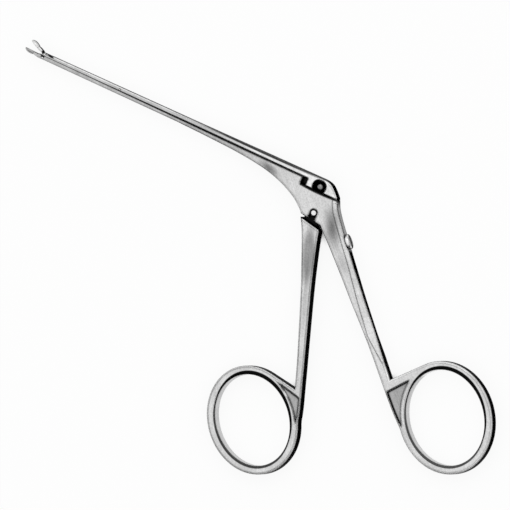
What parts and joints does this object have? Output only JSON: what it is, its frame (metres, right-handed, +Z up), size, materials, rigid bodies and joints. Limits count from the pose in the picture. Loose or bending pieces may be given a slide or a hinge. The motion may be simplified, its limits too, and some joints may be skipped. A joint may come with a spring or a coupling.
{
  "type": "ear polypus forceps",
  "caption": "Slim steel forceps for the ear: small cup jaws at the tip of a straight shaft, worked by a sliding upper bar and a pair of angled handles with oval finger rings.",
  "frame": {"origin": "on the underside of the body, the face it rests on, at the middle of the flat cheek ahead of the handle pivot", "axes": "X along the shaft, jaws towards -X; the rings lie towards -Y; Z is up through the thickness, with the instrument lying on its side"},
  "size_m": [0.1641, 0.0833, 0.0045],
  "materials": {
    "forged_steel": "satin stainless steel, fine-ground",
    "slider_steel": "satin stainless steel, brighter along the sliding bar",
    "jaw_steel": "polished stainless steel, dark in the hollows",
    "pin_steel": "bright turned stainless steel",
    "screw_steel": "polished stainless steel"
  },
  "bodies": {
    "fixed_half": {"frame": "forged_steel", "jaw_pivot_pin": "pin_steel", "rear_screw": "screw_steel"},
    "finger_half": {"finger_handle": "forged_steel", "handle_pivot_pin": "pin_steel"},
    "sliding_bar": {"slider": "slider_steel", "jaw_drive_pin": "pin_steel", "guide_pin_front": "pin_steel", "guide_pin_rear": "pin_steel"},
    "moving_jaw": {"upper_jaw": "jaw_steel"}
  },
  "joints": [
    {"name": "handle_hinge", "type": "hinge", "parent": "fixed_half", "child": "finger_half", "pos_m": [0.0065, -0.0034, 0.00225], "axis": [0, 0, 1], "range_deg": [0, 4.04]},
    {"name": "bar_slide", "type": "slide", "parent": "fixed_half", "child": "sliding_bar", "axis": [-1, 0, 0], "range_m": [0, 0.0004966]},
    {"name": "jaw_hinge", "type": "hinge", "parent": "fixed_half", "child": "moving_jaw", "pos_m": [-0.0813, 0.00387, 0.00225], "axis": [0, 0, 1], "range_deg": [0, 25]}
  ],
  "couplings": [
    {"joint": "bar_slide", "follows": "handle_hinge", "m_per_rad": 0.00705},
    {"joint": "jaw_hinge", "follows": "handle_hinge", "ratio": 6.1945}
  ]
}
